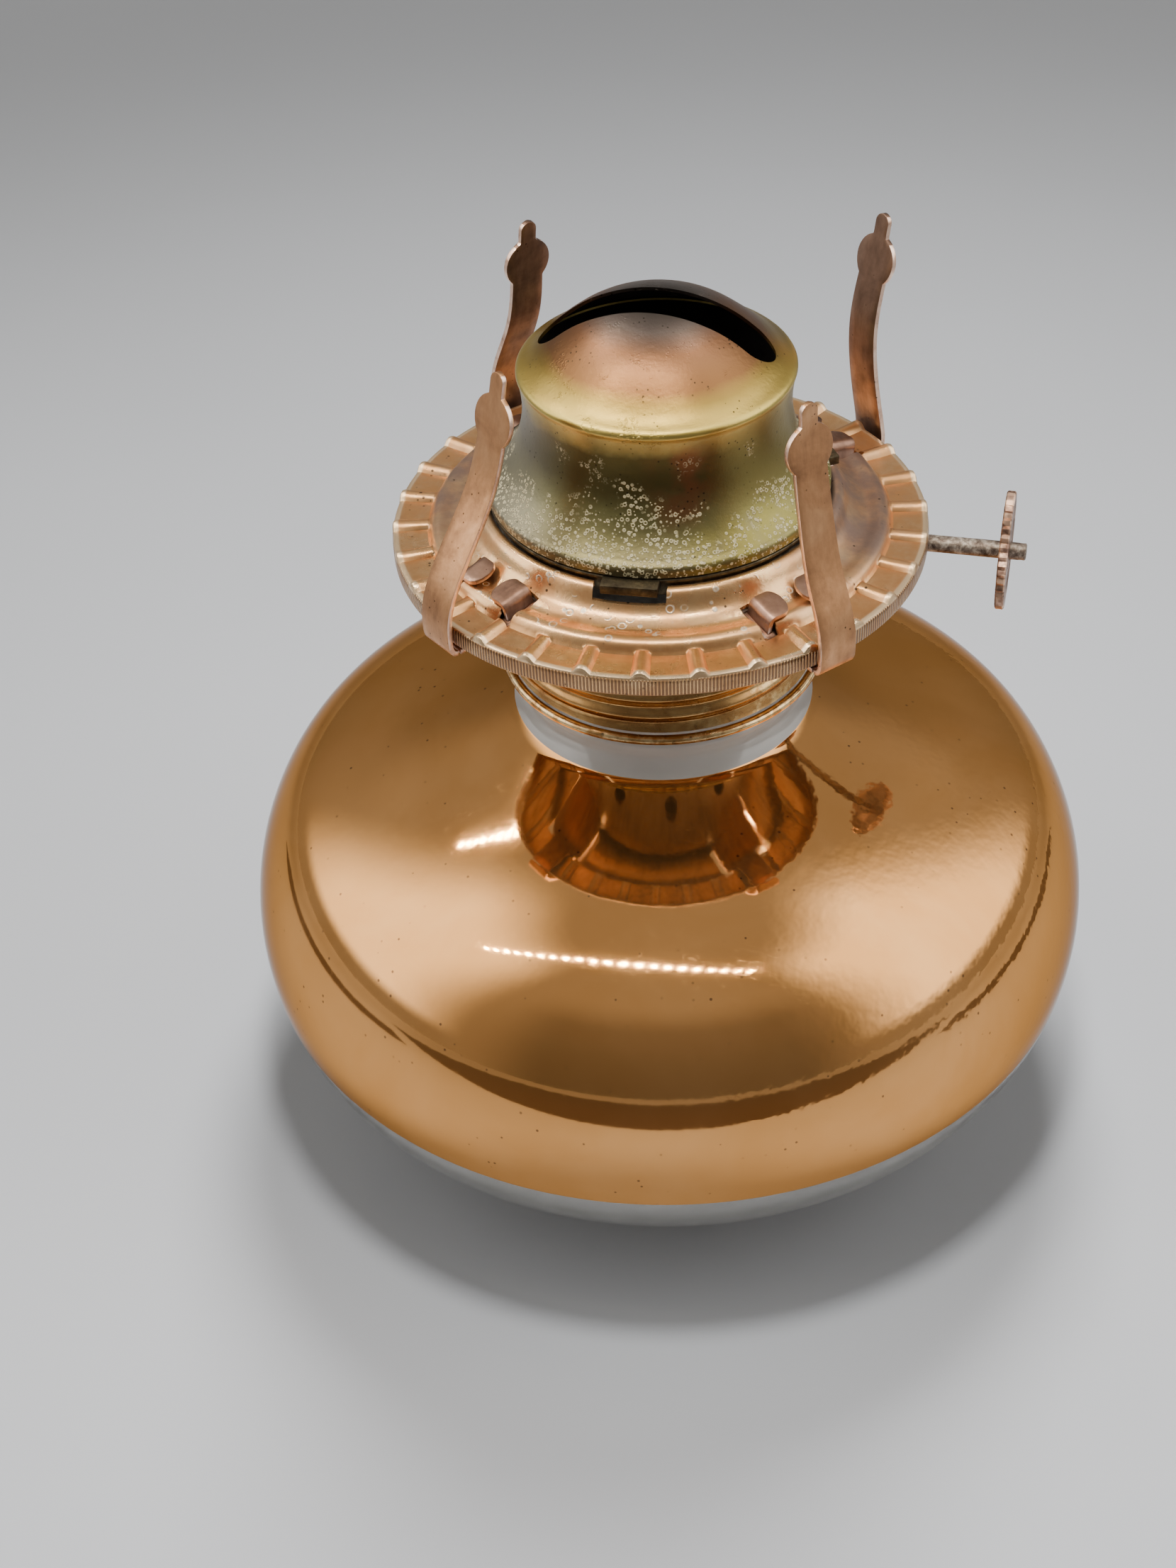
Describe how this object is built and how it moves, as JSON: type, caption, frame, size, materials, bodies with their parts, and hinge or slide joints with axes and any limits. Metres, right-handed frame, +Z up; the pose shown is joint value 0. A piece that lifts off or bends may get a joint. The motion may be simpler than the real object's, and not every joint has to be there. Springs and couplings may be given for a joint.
{
  "type": "oil lamp",
  "caption": "Squat glass oil lamp font with a screw-on flat-wick burner, slotted flame dome, wick thumb wheel and sprung chimney prongs.",
  "frame": {"origin": "middle of the glass base, on the surface the lamp stands on", "axes": "+Z up the lamp, +X along the wick shaft towards its thumb wheel, +Y away from the side with the front prongs"},
  "size_m": [0.1416, 0.1416, 0.1478],
  "materials": {
    "copper_glass": "copper flashed, mirror bright, clear at neck and base",
    "gasket_rubber": "matt",
    "copper": "worn copper plate, spotted",
    "dark_copper": "satin copper plate, tarnished",
    "brass": "heat tinted, mineral spotted",
    "dark_brass": "darkened",
    "plated_steel": "dull",
    "tarnished_steel": "tarnished with pale oxide",
    "cotton": "woven"
  },
  "bodies": {
    "font": {"font_glass": "copper_glass"},
    "gasket": {"neck_gasket": "gasket_rubber"},
    "burner": {"screw_collar": "copper", "draught_bowl": "copper", "burner_floor": "plated_steel", "air_diffuser": "plated_steel", "wick_tube": "plated_steel", "vent_tube": "plated_steel", "shaft_housing": "plated_steel", "shaft_bushing": "copper", "deck": "copper", "prong_foot_front_left": "dark_copper", "prong_foot_front_right": "dark_copper", "prong_foot_back_right": "dark_copper", "prong_foot_back_left": "dark_copper"},
    "dome": {"dome_cap": "brass", "dome_seat_ring": "dark_brass"},
    "shaft": {"wick_shaft": "tarnished_steel", "thumb_wheel": "dark_copper", "sprocket_left": "plated_steel", "sprocket_right": "plated_steel"},
    "wick": {"wick": "cotton"},
    "prong_front_left": {"prong_front_left": "dark_copper"},
    "prong_front_right": {"prong_front_right": "dark_copper"},
    "prong_back_right": {"prong_back_right": "dark_copper"},
    "prong_back_left": {"prong_back_left": "dark_copper"}
  },
  "joints": [
    {"name": "burner_lift", "type": "slide", "parent": "font", "child": "gasket", "axis": [0, 0, 1], "range_m": [0, 0.005]},
    {"name": "burner_unscrew", "type": "hinge", "parent": "gasket", "child": "burner", "pos_m": [0, 0, 0.0914], "axis": [0, 0, 1], "range_deg": [0, 540]},
    {"name": "dome_lift", "type": "slide", "parent": "burner", "child": "dome", "axis": [0, 0, 1], "range_m": [0, 0.02]},
    {"name": "knob_turn", "type": "hinge", "parent": "burner", "child": "shaft", "pos_m": [0.05, 0.0068, 0.1055], "axis": [-1, 0, 0], "range_deg": [0, 229.2]},
    {"name": "wick_raise", "type": "slide", "parent": "burner", "child": "wick", "axis": [0, 0, 1], "range_m": [0, 0.02]},
    {"name": "prong_front_left_flex", "type": "hinge", "parent": "burner", "child": "prong_front_left", "pos_m": [-0.02561, -0.03278, 0.1066], "axis": [0.788, -0.6157, 0], "range_deg": [0, 7], "stiffness_Nm_per_rad": 0.3},
    {"name": "prong_front_right_flex", "type": "hinge", "parent": "burner", "child": "prong_front_right", "pos_m": [0.03082, -0.02794, 0.1066], "axis": [0.6717, 0.7408, 0], "range_deg": [0, 7], "stiffness_Nm_per_rad": 0.3},
    {"name": "prong_back_right_flex", "type": "hinge", "parent": "burner", "child": "prong_back_right", "pos_m": [0.02762, 0.03111, 0.1066], "axis": [-0.7478, 0.6639, 0], "range_deg": [0, 7], "stiffness_Nm_per_rad": 0.3},
    {"name": "prong_back_left_flex", "type": "hinge", "parent": "burner", "child": "prong_back_left", "pos_m": [-0.03082, 0.02794, 0.1066], "axis": [-0.6717, -0.7408, 0], "range_deg": [0, 7], "stiffness_Nm_per_rad": 0.3}
  ],
  "couplings": [
    {"joint": "burner_lift", "follows": "burner_unscrew", "m_per_rad": 0.0005093},
    {"joint": "knob_turn", "follows": "wick_raise", "rad_per_m": 200}
  ]
}
